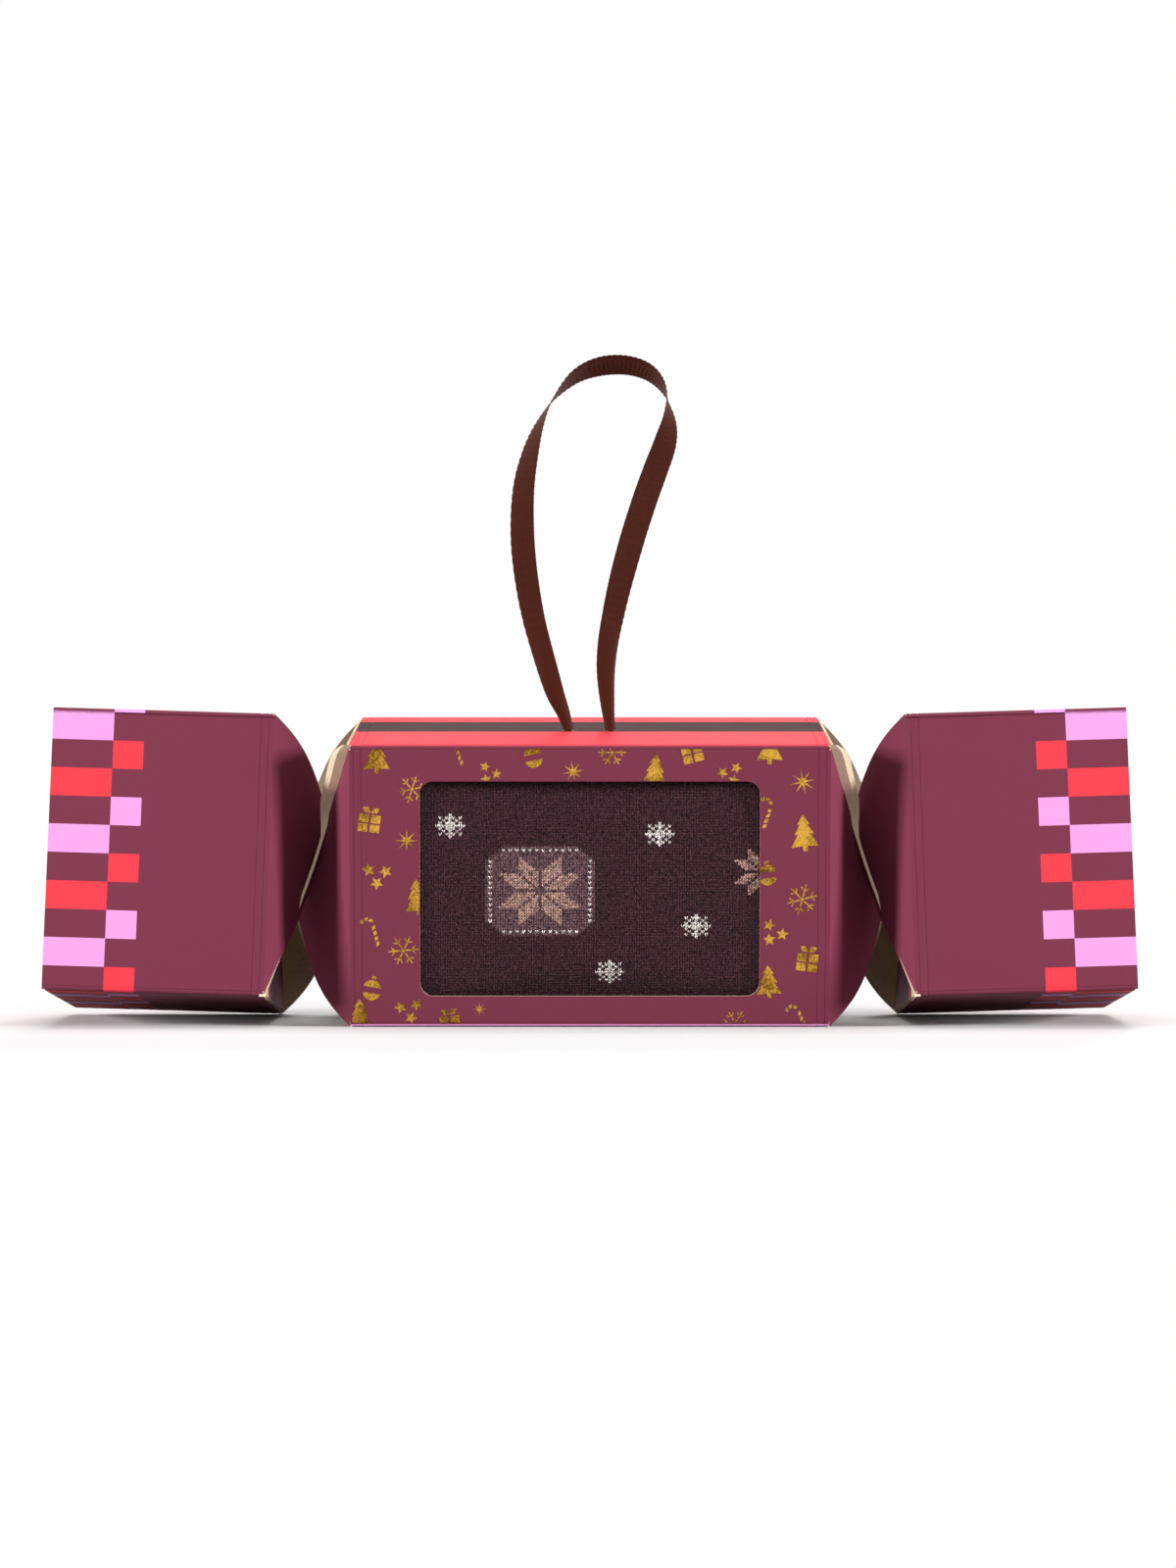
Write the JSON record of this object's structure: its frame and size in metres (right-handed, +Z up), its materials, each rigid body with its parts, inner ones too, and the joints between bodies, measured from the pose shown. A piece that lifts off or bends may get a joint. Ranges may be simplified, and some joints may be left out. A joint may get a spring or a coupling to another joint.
{
  "type": "christmas cracker gift box",
  "caption": "Folded paperboard cracker with a windowed centre box of socks, pinched necks, end boxes with tuck lids and a satin ribbon hanging loop.",
  "frame": {"origin": "on the floor under the middle of the carton", "axes": "+X along the cracker to the right as seen from the window side, +Y away from the window, +Z up"},
  "size_m": [0.2964, 0.0852, 0.1855],
  "materials": {
    "plum_board": "printed, satin varnish",
    "red_board": "printed, gloss varnish",
    "pink_board": "printed, satin varnish",
    "raw_board": "unprinted, matte",
    "sock_knit": "fine jersey knit",
    "ribbon_satin": "satin weave"
  },
  "bodies": {
    "carton": {"centre_front_panel": "plum_board", "centre_back_panel": "plum_board", "centre_top_panel": "red_board", "centre_bottom_panel": "pink_board", "centre_glue_tab": "raw_board", "centre_left_top_closing_flap": "plum_board", "centre_left_bottom_closing_flap": "plum_board", "centre_right_top_closing_flap": "plum_board", "centre_right_bottom_closing_flap": "plum_board", "left_front_neck_strip": "plum_board", "left_back_neck_strip": "plum_board", "right_front_neck_strip": "plum_board", "right_back_neck_strip": "plum_board", "left_front_panel": "plum_board", "left_back_panel": "plum_board", "left_top_panel": "plum_board", "left_bottom_panel": "plum_board", "left_glue_tab": "raw_board", "left_top_closing_flap": "plum_board", "left_bottom_closing_flap": "plum_board", "right_front_panel": "plum_board", "right_back_panel": "plum_board", "right_top_panel": "plum_board", "right_bottom_panel": "plum_board", "right_glue_tab": "raw_board", "right_top_closing_flap": "plum_board", "right_bottom_closing_flap": "plum_board", "front_sock": "sock_knit", "back_sock": "sock_knit", "ribbon_knot": "ribbon_satin"},
    "left_lid": {"left_lid": "plum_board", "left_tuck_tab": "plum_board"},
    "right_lid": {"right_lid": "plum_board", "right_tuck_tab": "plum_board"},
    "left_front_dust_flap": {"left_front_dust_flap": "plum_board"},
    "left_back_dust_flap": {"left_back_dust_flap": "plum_board"},
    "right_front_dust_flap": {"right_front_dust_flap": "plum_board"},
    "right_back_dust_flap": {"right_back_dust_flap": "plum_board"},
    "ribbon": {"ribbon_loop": "ribbon_satin"}
  },
  "joints": [
    {"name": "left_lid_crease", "type": "hinge", "parent": "carton", "child": "left_lid", "pos_m": [-0.14524, 0.00436, 0.08261], "axis": [-0.0034, 0.9936, -0.1132], "range_deg": [0, 110]},
    {"name": "right_lid_crease", "type": "hinge", "parent": "carton", "child": "right_lid", "pos_m": [0.14524, 0.00436, 0.08261], "axis": [-0.0034, -0.9936, 0.1132], "range_deg": [0, 110]},
    {"name": "left_front_flap_crease", "type": "hinge", "parent": "carton", "child": "left_front_dust_flap", "pos_m": [-0.14565, -0.03716, 0.04859], "axis": [-0.0295, -0.1132, -0.9931], "range_deg": [0, 80]},
    {"name": "left_back_flap_crease", "type": "hinge", "parent": "carton", "child": "left_back_dust_flap", "pos_m": [-0.1459, 0.03627, 0.04023], "axis": [0.0295, 0.1132, 0.9931], "range_deg": [0, 80]},
    {"name": "right_front_flap_crease", "type": "hinge", "parent": "carton", "child": "right_front_dust_flap", "pos_m": [0.14565, -0.03716, 0.04859], "axis": [-0.0295, 0.1132, 0.9931], "range_deg": [0, 80]},
    {"name": "right_back_flap_crease", "type": "hinge", "parent": "carton", "child": "right_back_dust_flap", "pos_m": [0.1459, 0.03627, 0.04023], "axis": [0.0295, -0.1132, -0.9931], "range_deg": [0, 80]},
    {"name": "ribbon_swing", "type": "hinge", "parent": "carton", "child": "ribbon", "pos_m": [0, -0.00436, 0.08086], "axis": [1, 0, 0], "range_deg": [-60, 70]}
  ]
}
